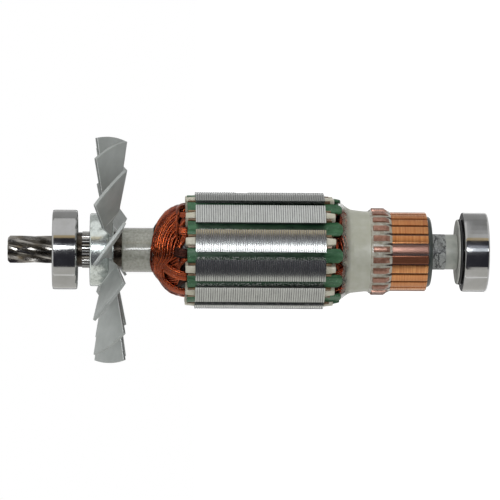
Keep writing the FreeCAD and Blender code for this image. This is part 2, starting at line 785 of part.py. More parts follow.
def make_resin():
    """Clear resin cast over the leads, from the risers to the rear coils."""
    body = new_body("resin_coat")
    top = commutator_top + dim.resin_length
    turn(body, "resin", [
        (dim.resin_rear_radius - dim.lead_wall, commutator_top),
        (dim.resin_rear_radius, commutator_top),
        ("hollow", dim.resin_hollow_radius),
        (dim.resin_front_radius, top),
        (dim.resin_front_radius - dim.lead_wall, top),
        ("bulge", dim.resin_hollow_radius),
    ])


# The fan's sheet lies on the hub's flange, and the hub's spigot is staked over its back
fan_base = knurl_base + dim.hub_stake_height
fan_top = fan_base + dim.fan_gauge
fan_middle = fan_base + dim.fan_gauge / 2


def make_hub():
    """Die-cast hub pressed on the knurl, with a spigot staked through the fan."""
    body = new_body("fan_hub")
    top = fan_top + dim.hub_length
    chamfer = dim.hub_chamfer
    turn(body, "hub", [
        (dim.knurl_radius, knurl_base),
        (dim.hub_spigot_radius + dim.hub_stake_width, knurl_base),
        (dim.hub_spigot_radius + dim.hub_stake_width, fan_base),
        (dim.hub_spigot_radius, fan_base),
        (dim.hub_spigot_radius, fan_top),
        (dim.hub_radius - chamfer, fan_top),
        (dim.hub_radius, fan_top + chamfer),
        (dim.hub_radius, top - chamfer),
        (dim.hub_radius - chamfer, top),
        (dim.knurl_radius, top),
    ])


def make_fan():
    """Cooling fan stamped from one aluminium sheet, each blade twisted at its neck."""
    body = new_body("fan", spin=dim.blade_angle)
    turn(body, "web", rectangle(dim.hub_spigot_radius, dim.fan_web_radius, fan_base, fan_top))

    # The foot of a blade still lies flat in the web's plane
    foot = dim.fan_web_radius + dim.blade_foot_length
    buried = dim.fan_web_radius - dim.blade_foot_length
    slope = tangent(dim.blade_half_angle)
    stub = pad(body, "blade_foot", [
        (buried, -(buried * slope)),
        (foot, -(foot * slope)),
        (foot, foot * slope),
        (buried, buried * slope),
    ], fan_base, dim.fan_gauge)

    # The neck: the sheet's section at even steps out along the blade, turned a little more each time
    neck_steps = 5
    sections = []
    for step in range(neck_steps + 1):
        share = step / neck_steps
        eased = round(share * share * (3 - 2 * share), 3)
        radius = foot + dim.blade_neck_length * share
        half = radius * slope
        sections.append(draw(body, f"neck_section_{step}", "YZ_Plane", [
            (-half, -dim.fan_gauge / 2),
            (half, -dim.fan_gauge / 2),
            (half, dim.fan_gauge / 2),
            (-half, dim.fan_gauge / 2),
        ], base={"y": fan_middle, "z": radius}, spin=(Vector(0, 0, 1), -(dim.blade_twist_angle * eased))))
    neck = body.newObject("PartDesign::AdditiveLoft", "blade_neck")
    neck.Profile = sections[0]
    neck.Sections = sections[1:]
    neck.Ruled = False

    # The flat of the blade: what is left of the disc's sector, in the tilted plane
    root = foot + dim.blade_neck_length
    tip = polar(dim.fan_radius, dim.blade_half_angle)
    shoulder = (root, root * slope)
    flat = draw(body, "blade_outline", "XY_Plane", [
        mirrored(shoulder),
        mirrored(tip),
        ("bulge", dim.fan_radius),
        tip,
        shoulder,
    ], base={"z": fan_middle}, spin=(Vector(1, 0, 0), -dim.blade_twist_angle))
    blade = body.newObject("PartDesign::Pad", "blade")
    blade.Profile = flat
    blade.Midplane = True
    bind(blade, "Length", dim.fan_gauge)
    pattern(body, "blades", [stub, neck, blade], dim.blade_count)


make_shaft()
make_bearing("rear", Size("0", 0))
make_bearing("front", front_bearing_base)
make_dust_seal()
make_tube()
make_moulding()
for bar in range(dim.bar_count.value):
    make_bar(bar)
make_resin()
make_winding()
make_core()
make_insulator("rear", core_base - dim.insulator_length)
make_insulator("front", core_top)
make_liners()
for wedge in range(dim.slot_count.value):
    make_wedge(wedge)
make_hub()
make_fan()
doc.recompute()

for item in doc.Objects:
    if "Invalid" in item.State or "Error" in item.State:
        raise RuntimeError(f"{item.Label} failed: {item.State}")

pieces = [item for item in doc.Objects if item.TypeId == "PartDesign::Body"]
for piece in pieces:
    if piece.Shape.isNull() or not piece.Shape.isValid() or not piece.Shape.Solids:
        raise RuntimeError(f"{piece.Label} has no valid solid")
for piece in pieces:
    piece.Shape.exportStep(f"parts/{piece.Label}.step")
    print(f"{piece.Label}: {len(piece.Shape.Solids)} solids, {piece.Shape.Volume:.1f} mm3")
print(f"{len(pieces)} pieces")
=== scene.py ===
import math

import bpy
from mathutils import Matrix, Vector, noise


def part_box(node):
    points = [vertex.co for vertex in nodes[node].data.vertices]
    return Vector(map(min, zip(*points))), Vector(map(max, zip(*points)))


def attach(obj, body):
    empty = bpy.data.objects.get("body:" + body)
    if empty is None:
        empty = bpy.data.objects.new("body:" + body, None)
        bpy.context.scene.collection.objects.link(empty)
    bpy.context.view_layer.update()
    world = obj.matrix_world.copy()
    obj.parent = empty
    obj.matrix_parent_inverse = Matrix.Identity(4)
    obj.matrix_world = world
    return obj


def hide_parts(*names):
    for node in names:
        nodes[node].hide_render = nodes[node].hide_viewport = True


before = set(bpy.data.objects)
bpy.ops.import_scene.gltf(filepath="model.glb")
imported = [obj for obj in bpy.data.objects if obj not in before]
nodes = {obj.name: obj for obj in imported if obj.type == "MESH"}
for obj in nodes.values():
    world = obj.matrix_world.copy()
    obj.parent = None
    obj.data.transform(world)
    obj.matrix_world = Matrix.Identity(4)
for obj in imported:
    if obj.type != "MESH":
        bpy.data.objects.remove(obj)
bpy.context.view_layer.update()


# Camera
# It stands before the armature, a little above its middle, and is rolled on its side, because
# the photograph shows the armature lying down with its pinion to the left.
view_height = 0.0955
view_distance = 1.157
view_tilt = math.radians(2.2)
view_roll = math.radians(0.36)
aim_offset = 0.00028

look = Vector((0, math.cos(view_tilt), -math.sin(view_tilt)))
level_right = Vector((0, -math.sin(view_tilt), -math.cos(view_tilt)))
level_up = Vector((1, 0, 0))
right = level_right * math.cos(view_roll) + level_up * math.sin(view_roll)
up = level_up * math.cos(view_roll) - level_right * math.sin(view_roll)
turned = Matrix((right, up, -look)).transposed()
place = Vector((aim_offset, 0, view_height)) - look * view_distance
bpy.ops.object.camera_add(location=place, rotation=turned.to_euler())
camera = bpy.context.object
camera.data.lens = 206.3
camera.data.sensor_width = 36
camera.data.clip_end = 20
bpy.context.scene.camera = camera


# Studio
# A light tent, white to the camera and in reflections, with a plainer level of light on the
# object. One broad lamp shines from the side that the photograph shows on top, which is +X,
# and a strip from the front.
def put(tree, socket, value):
    """Links an input to another node's output, or sets it to a plain value."""
    if isinstance(value, bpy.types.NodeSocket):
        tree.links.new(value, socket)
    else:
        socket.default_value = value


def add_node(tree, kind, inputs=None, **settings):
    """Adds a shader node, sets its properties, and sets or links its inputs by name or number."""
    made = tree.nodes.new(kind)
    for name, value in settings.items():
        setattr(made, name, value)
    for name, value in (inputs or {}).items():
        put(tree, made.inputs[name], value)
    return made


def reckoned(tree, operation, *values):
    """A number worked out from up to three others."""
    return add_node(tree, "ShaderNodeMath", dict(enumerate(values)), operation=operation).outputs[0]


def ramp(tree, value, start, stop, low=0.0, high=1.0):
    """A number that goes from low to high while a value goes from start to stop."""
    return add_node(tree, "ShaderNodeMapRange", {0: value, "From Min": start, "From Max": stop,
                                                 "To Min": low, "To Max": high}).outputs[0]


def seen_directly(tree):
    """One for camera, glossy and transmission rays, and zero for the light that the object gets."""
    rays = add_node(tree, "ShaderNodeLightPath").outputs
    seen = reckoned(tree, "MAXIMUM", rays["Is Camera Ray"], rays["Is Glossy Ray"])
    return reckoned(tree, "MAXIMUM", seen, rays["Is Transmission Ray"])


white = (1, 1, 1, 1)
tent_level = 0.75
world = bpy.data.worlds.new("light_tent")
world.use_nodes = True
tent = world.node_tree
tent.nodes.clear()
strength = ramp(tent, seen_directly(tent), 0.0, 1.0, tent_level, 1.0)
glow = add_node(tent, "ShaderNodeBackground", {"Color": white, "Strength": strength})
add_node(tent, "ShaderNodeOutputWorld", {"Surface": glow.outputs[0]})
bpy.context.scene.world = world

bpy.ops.mesh.primitive_plane_add(size=12)
floor = bpy.context.object
floor.name = "floor"
floor_look = bpy.data.materials.new("white_paper")
floor_look.use_nodes = True
paper = floor_look.node_tree
paper.nodes.clear()
shown = add_node(paper, "ShaderNodeEmission", {"Color": white, "Strength": 0.84})
shade = add_node(paper, "ShaderNodeBsdfDiffuse", {"Color": (0.3, 0.3, 0.3, 1)})
seen_paper = add_node(paper, "ShaderNodeAddShader", {0: shown.outputs[0], 1: shade.outputs[0]})
plain_paper = add_node(paper, "ShaderNodeBsdfDiffuse", {"Color": (0.8, 0.8, 0.8, 1)})
both = add_node(paper, "ShaderNodeMixShader", {0: seen_directly(paper), 1: plain_paper.outputs[0],
                                              2: seen_paper.outputs[0]})
add_node(paper, "ShaderNodeOutputMaterial", {"Surface": both.outputs[0]})
floor.data.materials.append(floor_look)

# Each lamp's direction is counted from the front and upwards, in degrees.
# They are hidden from reflections, where the cards below stand for them.
for lamp_name, direction, distance, height, width, length, power in (
    ("upper_lamp", 74, 1.3, 0.35, 0.8, 1.0, 4.4),
    ("front_strip", 5.5, 1.2, 0.08, 0.11, 0.6, 2.2),
):
    around = math.radians(direction - 90)
    spot = Vector((distance * math.cos(around), distance * math.sin(around), height))
    bpy.ops.object.light_add(type="AREA", location=spot)
    lamp = bpy.context.object
    lamp.name = lamp_name
    lamp.data.shape = "RECTANGLE"
    lamp.data.size = width
    lamp.data.size_y = length
    lamp.data.energy = power
    lamp.rotation_euler = (spot - Vector((0, 0, height))).to_track_quat("Z", "Y").to_euler()
    lamp.visible_glossy = False

# The tent's open front, dark in the polished rings, with the lamp's glow in it and its edges.
# Only reflections see these cards. The low ones lie on the floor, where the rear bearing and
# the bars reflect them, and the high one is on the wall, where the front bearing reflects it.
wall_distance = 1.55
card_steps = 24
ring_radius = 0.0162


def floor_and_wall(lift, top=1.1):
    """The rails of a card that lies on the floor to the wall and goes on up the wall."""
    return (0, lift), (wall_distance - lift, lift), (wall_distance - lift, top)


def reflected_card(name, start, stop, rails, level, tint):
    """A card between two directions that a ring round the axis reflects, in degrees below the front."""
    corners = []
    for step in range(card_steps + 1):
        below = math.radians(start + (stop - start) * step / card_steps)
        near = Vector((-math.sin(below / 2), -math.cos(below / 2), 0)) * ring_radius
        for distance, height in rails:
            spot = near + Vector((-math.sin(below), -math.cos(below), 0)) * distance
            corners.append((spot.x, spot.y, height))
    faces = []
    for step in range(card_steps):
        for row in range(len(rails) - 1):
            first = step * len(rails) + row
            faces.append((first, first + 1, first + len(rails) + 1, first + len(rails)))
    mesh = bpy.data.meshes.new(name)
    mesh.from_pydata(corners, [], faces)
    card = bpy.data.objects.new(name, mesh)
    bpy.context.collection.objects.link(card)
    cloth = bpy.data.materials.new(name)
    cloth.use_nodes = True
    cloth.node_tree.nodes.clear()
    light = add_node(cloth.node_tree, "ShaderNodeEmission", {"Color": tint, "Strength": level})
    add_node(cloth.node_tree, "ShaderNodeOutputMaterial", {"Surface": light.outputs[0]})
    mesh.materials.append(cloth)
    for rays in ("camera", "diffuse", "transmission", "volume_scatter", "shadow"):
        setattr(card, f"visible_{rays}", False)


by_the_bearing = (0, 0.0008), (0.1, 0.0008)
before_the_bars = (0, 0.0007), (0.6, 0.0007)
high_on_the_wall = (1.545, 0.185), (1.545, 0.7)
cool = (0.95, 0.97, 1, 1)
warm = (1, 0.985, 0.94, 1)
for card_row in (
    ("front_opening", -34, 52, floor_and_wall(0.0002), 0.06, (0.8, 0.8, 1, 1)),
    ("front_glow", -10.5, -2.2, floor_and_wall(0.0006, top=0.7), 9.0, cool),
    ("bars_glow", -10.5, -2.2, before_the_bars, 5.5, cool),
    ("bearing_glow", -10.5, -2.2, by_the_bearing, 1.3, (0.85, 0.92, 1, 1)),
    ("high_glow", -10.5, -2.2, high_on_the_wall, 13.0, cool),
    ("glow_edge", -19, -10.5, floor_and_wall(0.0006), 0.45, (0.8, 0.84, 1, 1)),
    ("tan_edge", -42, -34, floor_and_wall(0.0004), 0.75, (1, 0.8, 0.5, 1)),
    ("lower_wall", 52, 78, floor_and_wall(0.0004), 0.84, warm),
    ("bearing_wall", 45, 52, by_the_bearing, 0.75, warm),
    ("lower_seam", 78, 81, floor_and_wall(0.0004), 1.6, white),
    ("lower_shade", 81, 150, floor_and_wall(0.0004), 0.8, warm),
    ("upper_seam", -106, -103, floor_and_wall(0.0004), 0.4, white),
    ("upper_shade", -150, -106, floor_and_wall(0.0004), 0.5, white),
    ("bars_shade", -103, -42, before_the_bars, 0.8, white),
    ("bearing_shade", -112, -84, by_the_bearing, 0.42, white),
    ("bearing_dusk", -84, -67, by_the_bearing, 0.5, white),
    ("bearing_dawn", -67, -54, by_the_bearing, 0.62, white),
    ("back_opening", 158, 202, floor_and_wall(0.0002), 0.12, white),
):
    reflected_card(*card_row)
bpy.context.scene.view_settings.view_transform = "Standard"


# Bearings
# Two sealed ball bearings of polished chrome steel with black rubber seals. Each is pressed
# on its seat of the shaft, and its outer ring turns with the two seals that are snapped in it.
merge_distance = 0.000001
mark_depth = 0.00002
cloud_low, cloud_high = 0.32, 0.68


def own_place(tree):
    """A point's place on the object."""
    return add_node(tree, "ShaderNodeTexCoord").outputs["Object"]


def own_parts(tree):
    """The X, Y and Z of a point's place on the object."""
    return add_node(tree, "ShaderNodeSeparateXYZ", {0: own_place(tree)}).outputs


def clouds(tree, where, scale, detail):
    """Smooth noise, from zero to one."""
    inputs = {"Vector": where, "Scale": scale, "Detail": detail}
    return add_node(tree, "ShaderNodeTexNoise", inputs).outputs["Fac"]


def bump(tree, height, strength, depth):
    """A bump on the surface, as its normal."""
    inputs = {"Height": height, "Strength": strength, "Distance": depth}
    return add_node(tree, "ShaderNodeBump", inputs).outputs[0]


def turning_marks(tree, fineness, strength):
    """Fine rings round the shaft, as a bump."""
    rings = add_node(tree, "ShaderNodeCombineXYZ", {"Z": own_parts(tree)["Z"]}).outputs[0]
    return bump(tree, clouds(tree, rings, fineness, 3.0), strength, mark_depth)


def patches(tree, scale, detail=4.0, stretch=(1, 1, 1)):
    """Uneven patches from zero to one, for colour and gloss."""
    laid = add_node(tree, "ShaderNodeMapping", {"Vector": own_place(tree), "Scale": stretch}).outputs[0]
    return ramp(tree, clouds(tree, laid, scale, detail), cloud_low, cloud_high)


def between(tree, factor, first, second):
    """A colour from first to second, as factor goes from zero to one."""
    return add_node(tree, "ShaderNodeMix", {0: factor, 6: first, 7: second}, data_type="RGBA").outputs[2]


def spread(tree, factor, low, high):
    """A number from low to high, as factor goes from zero to one."""
    return ramp(tree, factor, 0.0, 1.0, low, high)


def new_finish(name):
    """A new material and its node tree."""
    finish = bpy.data.materials.new(name)
    finish.use_nodes = True
    return finish, finish.node_tree


def set_shader(tree, values):
    """Sets or links the sockets of a material's shader by name."""
    for name, value in values.items():
        put(tree, tree.nodes["Principled BSDF"].inputs[name], value)


def give_finish(piece, finish):
    """Gives a piece or a frame node its finish, in place of what it had."""
    piece.data.materials.clear()
    piece.data.materials.append(finish)


def settle(piece, name, finish, slot, *replaced, body="armature"):
    """Names a piece, gives it its finish, ties it to its body and hides the frame nodes it stands in for."""
    piece.name = name
    if finish:
        give_finish(piece, finish)
    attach(piece, body)
    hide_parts(*replaced)


def turn_profile(corners, rounding=0.0, steps=128):
    """Turns a closed outline of (radius, height) corners about the shaft, after rounding its corners."""
    bpy.ops.object.select_all(action="DESELECT")
    bpy.ops.mesh.primitive_plane_add(size=0.001, enter_editmode=True, location=(0, 0, 0))
    bpy.ops.mesh.select_mode(type="VERT")
    bpy.ops.mesh.merge(type="CENTER")
    bpy.ops.transform.translate(value=(corners[0][0], 0, corners[0][1]))
    here = corners[0]
    for corner in corners[1:] + corners[:1]:
        step = (corner[0] - here[0], 0, corner[1] - here[1])
        bpy.ops.mesh.extrude_region_move(TRANSFORM_OT_translate={"value": step})
        here = corner
    bpy.ops.mesh.select_all(action="SELECT")
    bpy.ops.mesh.remove_doubles(threshold=merge_distance)
    if rounding:
        bpy.ops.mesh.bevel(offset=rounding, offset_type="OFFSET", segments=3, affect="VERTICES")
    bpy.ops.mesh.select_all(action="SELECT")
    bpy.ops.mesh.spin(steps=steps, angle=2 * math.pi, center=(0, 0, 0), axis=(0, 0, 1))
    bpy.ops.mesh.select_all(action="SELECT")
    bpy.ops.mesh.remove_doubles(threshold=merge_distance)
    bpy.ops.mesh.normals_make_consistent(inside=False)
    bpy.ops.object.mode_set(mode="OBJECT")
    bpy.ops.object.shade_smooth_by_angle(angle=math.radians(32))
    return bpy.context.object


ring_steel, tree = new_finish("ground_ring_steel")
smears = patches(tree, 160)
set_shader(tree, {
    "Base Color": between(tree, smears, (0.36, 0.36, 0.35, 1), (0.42, 0.42, 0.42, 1)),
    "Metallic": 1.0,
    "Roughness": spread(tree, smears, 0.08, 0.16),
    "Normal": turning_marks(tree, 9000, 0.15),
})
seal_rubber, tree = new_finish("black_seal_rubber")
set_shader(tree, {
    "Base Color": between(tree, patches(tree, 500), (0.008, 0.008, 0.009, 1), (0.02, 0.02, 0.021, 1)),
    "Roughness": spread(tree, patches(tree, 900), 0.42, 0.6),
    "Normal": turning_marks(tree, 5000, 0.2),
})
cage_steel, tree = new_finish("pressed_cage_steel")
set_shader(tree, {
    "Base Color": between(tree, patches(tree, 700), (0.3, 0.29, 0.27, 1), (0.45, 0.44, 0.42, 1)),
    "Metallic": 1.0,
    "Roughness": spread(tree, patches(tree, 900), 0.25, 0.4),
})

seal_recess = 0.0002
seal_lip = 0.0004
seal_bite = 0.0003
ring_wall = 0.0032
bore = 0.00602
bore_edge = 0.0005
race_half = 0.0022
race_floor_half = 0.0009
race_depth = 0.0010
for end in ("rear", "front"):
    low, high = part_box(f"{end}_bearing_outer_ring")
    seal_low, seal_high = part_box(f"{end}_bearing_lower_seal")
    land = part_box(f"{end}_bearing_inner_ring")[1].x
    base, top, rim, seal_rim = low.z, high.z, high.x, seal_high.x
    middle = (base + top) / 2
    seal_gauge = seal_high.z - seal_low.z
    piece = turn_profile([
        (seal_rim, base), (rim - 0.0009, base), (rim - 0.0002, base + 0.00015), (rim, base + 0.0008),
        (rim, top - 0.0008), (rim - 0.0002, top - 0.00015), (rim - 0.0009, top), (seal_rim, top),
        (seal_rim - seal_bite, top - seal_gauge - seal_recess), (rim - ring_wall, middle + race_half),
        (rim - ring_wall, middle - race_half), (seal_rim - seal_bite, base + seal_gauge + seal_recess)],
        rounding=0.00012, steps=160)
    settle(piece, f"{end}_ring_outer", ring_steel, "bearing_steel", f"{end}_bearing_outer_ring",
           body=f"{end}_ring")
    piece = turn_profile([
        (bore, base + bore_edge), (bore + bore_edge, base), (land - 0.0003, base), (land, base + 0.0003),
        (land, middle - race_half), (land - race_depth, middle - race_floor_half),
        (land - race_depth, middle + race_floor_half), (land, middle + race_half),
        (land, top - 0.0003), (land - 0.0003, top), (bore + bore_edge, top), (bore, top - bore_edge)],
        rounding=0.0001, steps=96)
    settle(piece, f"{end}_ring_inner", ring_steel, "bearing_steel", f"{end}_bearing_inner_ring")
    for side, face, inward in (("lower", base, 1), ("upper", top, -1)):
        outside = face + inward * seal_recess
        inside = outside + inward * seal_gauge
        lip = outside + inward * seal_lip
        seal_bore = land + 0.00018
        piece = turn_profile([
            (seal_bore, lip), (seal_bore + 0.0007, outside + inward * 0.0001), (seal_bore + 0.0012, lip),
            (seal_rim - 0.0011, lip), (seal_rim - 0.0006, outside), (seal_rim - 0.0001, outside),
            (seal_rim - 0.0001, inside), (seal_bore, inside)], rounding=0.00012)
        settle(piece, f"{end}_seal_{side}", seal_rubber, "seal_rubber", f"{end}_bearing_{side}_seal",
               body=f"{end}_ring")
    give_finish(nodes[f"{end}_bearing_balls"], ring_steel)
    give_finish(nodes[f"{end}_bearing_cage"], cage_steel)


# Shaft
# Turned and ground steel in one piece, with the knurl for the fan's hub and the helical pinion
# cut in its end. The pinion is patchy with old oil. The rest is painted near black, as grime and
# as painted shade where it lies between the bearing, the hub, the fan and the tube, but for the
# knurl's bright crests.
def radius_of(tree, parts):
    """A point's distance from the middle of the shaft."""
    flat = add_node(tree, "ShaderNodeCombineXYZ", {"X": parts["X"], "Y": parts["Y"]}).outputs[0]
    return add_node(tree, "ShaderNodeVectorMath", {0: flat}, operation="LENGTH").outputs["Value"]


pinion_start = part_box("front_bearing_outer_ring")[1].z
knurl_start = 0.1508
crest_foot, crest_top = 0.0071, 0.0073
shaft_steel, tree = new_finish("ground_shaft_steel")
parts = own_parts(tree)
oil = patches(tree, 420, stretch=(1, 1, 0.35))
oiled = between(tree, oil, (0.075, 0.067, 0.055, 1), (0.35, 0.335, 0.31, 1))
crest = ramp(tree, radius_of(tree, parts), crest_foot, crest_top)
bright = reckoned(tree, "MULTIPLY", crest, reckoned(tree, "GREATER_THAN", parts["Z"], knurl_start))
# Grime and painted shade: the shaft is painted near black where it shows between the bearing, the hub, the
# fan and the tube.
grime_and_shade = between(tree, patches(tree, 240), (0.022, 0.019, 0.016, 1), (0.085, 0.07, 0.055, 1))
unoiled = between(tree, bright, grime_and_shade, (0.42, 0.42, 0.41, 1))
at_pinion = ramp(tree, parts["Z"], pinion_start - 0.001, pinion_start + 0.0005)
set_shader(tree, {
    "Base Color": between(tree, at_pinion, unoiled, oiled),
    "Metallic": 1.0,
    "Roughness": spread(tree, oil, 0.3, 0.12),
    "Normal": bump(tree, patches(tree, 1600), 0.35, 0.00006),
})
give_finish(nodes["shaft"], shaft_steel)


# Rubber ring
# A moulded ring of black rubber, pushed on the shaft between the rear bearing and the dust
# washer. Its boss sits on the bearing's inner ring and its rim stands clear of the seal.
shaft_radius = 0.006
boss_radius = 0.00845
boss_height = 0.0003
low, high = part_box("lip_ring")
face = low.z + boss_height
rubber_ring = turn_profile([
    (shaft_radius, low.z), (boss_radius, low.z), (boss_radius, face), (high.x - 0.0005, face),
    (high.x, face + 0.0003), (high.x, face + 0.0006), (high.x - 0.0003, face + 0.0008),
    (high.x - 0.0001, high.z), (shaft_radius, high.z)], rounding=0.00008)
settle(rubber_ring, "rubber_ring", seal_rubber, "seal_rubber", "lip_ring")


# Dust washer
# A thin grey washer punched from sheet, with rounded edges and a shallow recess round its bore.
# It is pressed on the shaft over the rubber ring and keeps the brushes' dust off the bearing.
washer_grey, tree = new_finish("washer_grey")
set_shader(tree, {
    "Base Color": between(tree, patches(tree, 300), (0.36, 0.37, 0.34, 1), (0.5, 0.505, 0.465, 1)),
    "Metallic": 0.3,
    "Roughness": spread(tree, patches(tree, 600), 0.35, 0.5),
    "Normal": turning_marks(tree, 3500, 0.3),
})
edge = 0.0002
recess_radius = 0.0084
low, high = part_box("dust_washer")
washer = turn_profile([
    (shaft_radius, low.z), (high.x - edge, low.z), (high.x, low.z + edge), (high.x, high.z - edge),
    (high.x - edge, high.z), (recess_radius + 0.0004, high.z), (recess_radius, high.z - edge),
    (shaft_radius, high.z - edge)], rounding=0.00006)
settle(washer, "washer", washer_grey, "washer_grey", "dust_washer")


# Shaft insulation
# Grey glass-filled resin moulded on the shaft. It is smooth and glossy in front of the core,
# pale at its thin rear end, and cracked and darker between that end and the commutator.
def reckoned_place(tree, operation, *values):
    """A place worked out from up to three others."""
    return add_node(tree, "ShaderNodeVectorMath", dict(enumerate(values)), operation=operation).outputs[0]


low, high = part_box("shaft_insulation")
nose_end = low.z + 0.0048
nose_radius = 0.0071
neck_radius = 0.0072
tube_radius = high.x
tube_start = 0.0475
crack_wander = 0.0011
tube_grey, tree = new_finish("moulded_tube_grey")
where = own_place(tree)
height = own_parts(tree)["Z"]
mottle = patches(tree, 260)
speck = patches(tree, 2200, detail=2.0)
front_grey = between(tree, mottle, (0.33, 0.335, 0.285, 1), (0.43, 0.43, 0.38, 1))
front_grey = between(tree, patches(tree, 1100, detail=8.0), front_grey, (0.23, 0.235, 0.19, 1))
drawn_out = add_node(tree, "ShaderNodeMapping", {"Vector": where, "Scale": (0.45, 0.45, 1)}).outputs[0]
wavy = add_node(tree, "ShaderNodeTexNoise", {"Vector": where, "Scale": 1500.0, "Detail": 3.0})
bent = reckoned_place(tree, "MULTIPLY", wavy.outputs["Color"], (crack_wander, crack_wander, crack_wander))
crazed = reckoned_place(tree, "ADD", drawn_out, bent)
cells = add_node(tree, "ShaderNodeTexVoronoi", {"Vector": crazed, "Scale": 420.0},
                 feature="DISTANCE_TO_EDGE").outputs["Distance"]
vein = ramp(tree, cells, 0.03, 0.11)
open_vein = reckoned(tree, "MAXIMUM", vein, spread(tree, patches(tree, 330), -0.4, 0.9))
rear_grey = between(tree, speck, (0.2, 0.215, 0.21, 1), (0.37, 0.385, 0.37, 1))
rear_grey = between(tree, open_vein, (0.012, 0.013, 0.014, 1), rear_grey)
nose_grey = between(tree, mottle, (0.31, 0.33, 0.30, 1), (0.42, 0.43, 0.39, 1))
past_nose = ramp(tree, height, nose_end - 0.0001, nose_end + 0.0001)
past_core = ramp(tree, height, 0.05, 0.06)
rear_part = between(tree, past_nose, nose_grey, rear_grey)
set_shader(tree, {
    "Base Color": between(tree, past_core, rear_part, front_grey),
    "Roughness": spread(tree, mottle, 0.35, 0.5),
    "Coat Weight": spread(tree, past_core, 0.05, 1.0),
    "Coat Roughness": 0.05,
    "Normal": bump(tree, speck, 0.2, 0.00004),
})
tube = turn_profile([
    (shaft_radius, low.z), (nose_radius, low.z), (nose_radius, nose_end), (neck_radius, nose_end + 0.0002),
    (neck_radius, tube_start), (tube_radius, tube_start), (tube_radius, high.z - 0.0006),
    (tube_radius - 0.0003, high.z - 0.0001), (tube_radius - 0.0008, high.z), (shaft_radius, high.z)],
    rounding=0.00008)
settle(tube, "moulded_tube", tube_grey, "insulation_grey", "shaft_insulation")


# Commutator
# A dark phenolic moulding that grips 24 bars of hard-drawn copper. The mica slots between the
# bars are cut back, the track is turned, and each bar's hook is hot-pressed over its wires.
def lone_object(name, data):
    """A new object in the scene, which is the active one and the only one selected."""
    made = bpy.data.objects.new(name, data)
    bpy.context.collection.objects.link(made)
    bpy.ops.object.select_all(action="DESELECT")
    bpy.context.view_layer.objects.active = made
    made.select_set(True)
    return made


def opened_copy(node_name, name):
    """A copy of a frame node, in edit mode with all of it selected."""
    copy = lone_object(name, nodes[node_name].data.copy())
    bpy.ops.mesh.customdata_custom_splitnormals_clear()
    bpy.ops.object.mode_set(mode="EDIT")
    bpy.ops.mesh.select_all(action="SELECT")
    return copy


def softened_copy(node_name, width, angle=30):
    """A copy of a frame node with its triangles joined into flat faces and its sharp edges rounded."""
    copy = opened_copy(node_name, f"soft_{node_name}")
    bpy.ops.mesh.remove_doubles(threshold=merge_distance)
    bpy.ops.mesh.dissolve_limited(angle_limit=math.radians(1.5))
    bpy.ops.object.mode_set(mode="OBJECT")
    edges = copy.modifiers.new("edges", "BEVEL")
    edges.width = width
    edges.segments = 2
    edges.limit_method = "ANGLE"
    edges.angle_limit = math.radians(angle)
    bpy.ops.object.modifier_apply(modifier="edges")
    bpy.ops.object.shade_smooth_by_angle(angle=math.radians(40))
    return copy


def share_round(tree, parts, count, shift):
    """How many of a number of equal shares a point is round the shaft, moved by a shift."""
    around = reckoned(tree, "ARCTAN2", parts["Y"], parts["X"])
    return reckoned(tree, "MULTIPLY_ADD", around, count / (2 * math.pi), shift)


bar_count = 24
bar_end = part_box("commutator_bar_01")[0].z
phenolic, tree = new_finish("dark_phenolic")
under_bars = ramp(tree, own_parts(tree)["Z"], bar_end - 0.0001, bar_end + 0.0001)
phenol = between(tree, patches(tree, 350), (0.018, 0.028, 0.024, 1), (0.04, 0.052, 0.046, 1))
dusty = between(tree, patches(tree, 900), (0.035, 0.008, 0.005, 1), (0.09, 0.02, 0.01, 1))
set_shader(tree, {
    "Base Color": between(tree, under_bars, phenol, dusty),
    "Roughness": spread(tree, patches(tree, 700), 0.3, 0.5),
    "Coat Weight": 0.3,
    "Coat Roughness": 0.25,
})
give_finish(nodes["commutator_moulding"], phenolic)

# Each bar has its own tone. The two bars in front have painted reflection in their colour: a
# pink painted highlight on one and a painted dark reflection on the next, and the hooks are pink
# from the heat.
reflection_painted_bars = (-6, (0.36, 0.19, 0.145, 1)), (-7, (0.26, 0.095, 0.05, 1))
copper, tree = new_finish("turned_bar_copper")
parts = own_parts(tree)
bar_number = reckoned(tree, "ROUND", share_round(tree, parts, bar_count, -0.2))
tone = add_node(tree, "ShaderNodeTexWhiteNoise", {"W": bar_number}, noise_dimensions="1D").outputs["Value"]
worn = patches(tree, 500, stretch=(1, 1, 0.8))
heights = add_node(tree, "ShaderNodeCombineXYZ", {"Z": parts["Z"], "X": bar_number}).outputs[0]
scored = add_node(tree, "ShaderNodeMapping", {"Vector": heights, "Scale": (3.1, 1, 2600)}).outputs[0]
line = ramp(tree, clouds(tree, scored, 1.0, 3.0), 0.35, 0.65)
track = between(tree, tone, (0.52, 0.20, 0.06, 1), (0.80, 0.42, 0.16, 1))
track = between(tree, worn, track, (0.66, 0.31, 0.12, 1))
bar_colour = between(tree, line, (0.44, 0.155, 0.055, 1), track)
# Painted reflection: the two front bars get fixed tones in place of their own.
for reflection_painted_bar, painted_reflection_tone in reflection_painted_bars:
    bar_colour = between(tree, reckoned(tree, "COMPARE", bar_number, reflection_painted_bar, 0.4), bar_colour, painted_reflection_tone)
hooked = ramp(tree, radius_of(tree, parts), 0.01600, 0.0163)
pink = between(tree, patches(tree, 900), (0.355, 0.19, 0.137, 1), (0.225, 0.103, 0.068, 1))
set_shader(tree, {
    "Base Color": between(tree, hooked, bar_colour, pink),
    "Metallic": spread(tree, hooked, 0.65, 0.4),
    "Roughness": spread(tree, worn, 0.17, 0.27),
    "Normal": turning_marks(tree, 4200, 0.15),
})

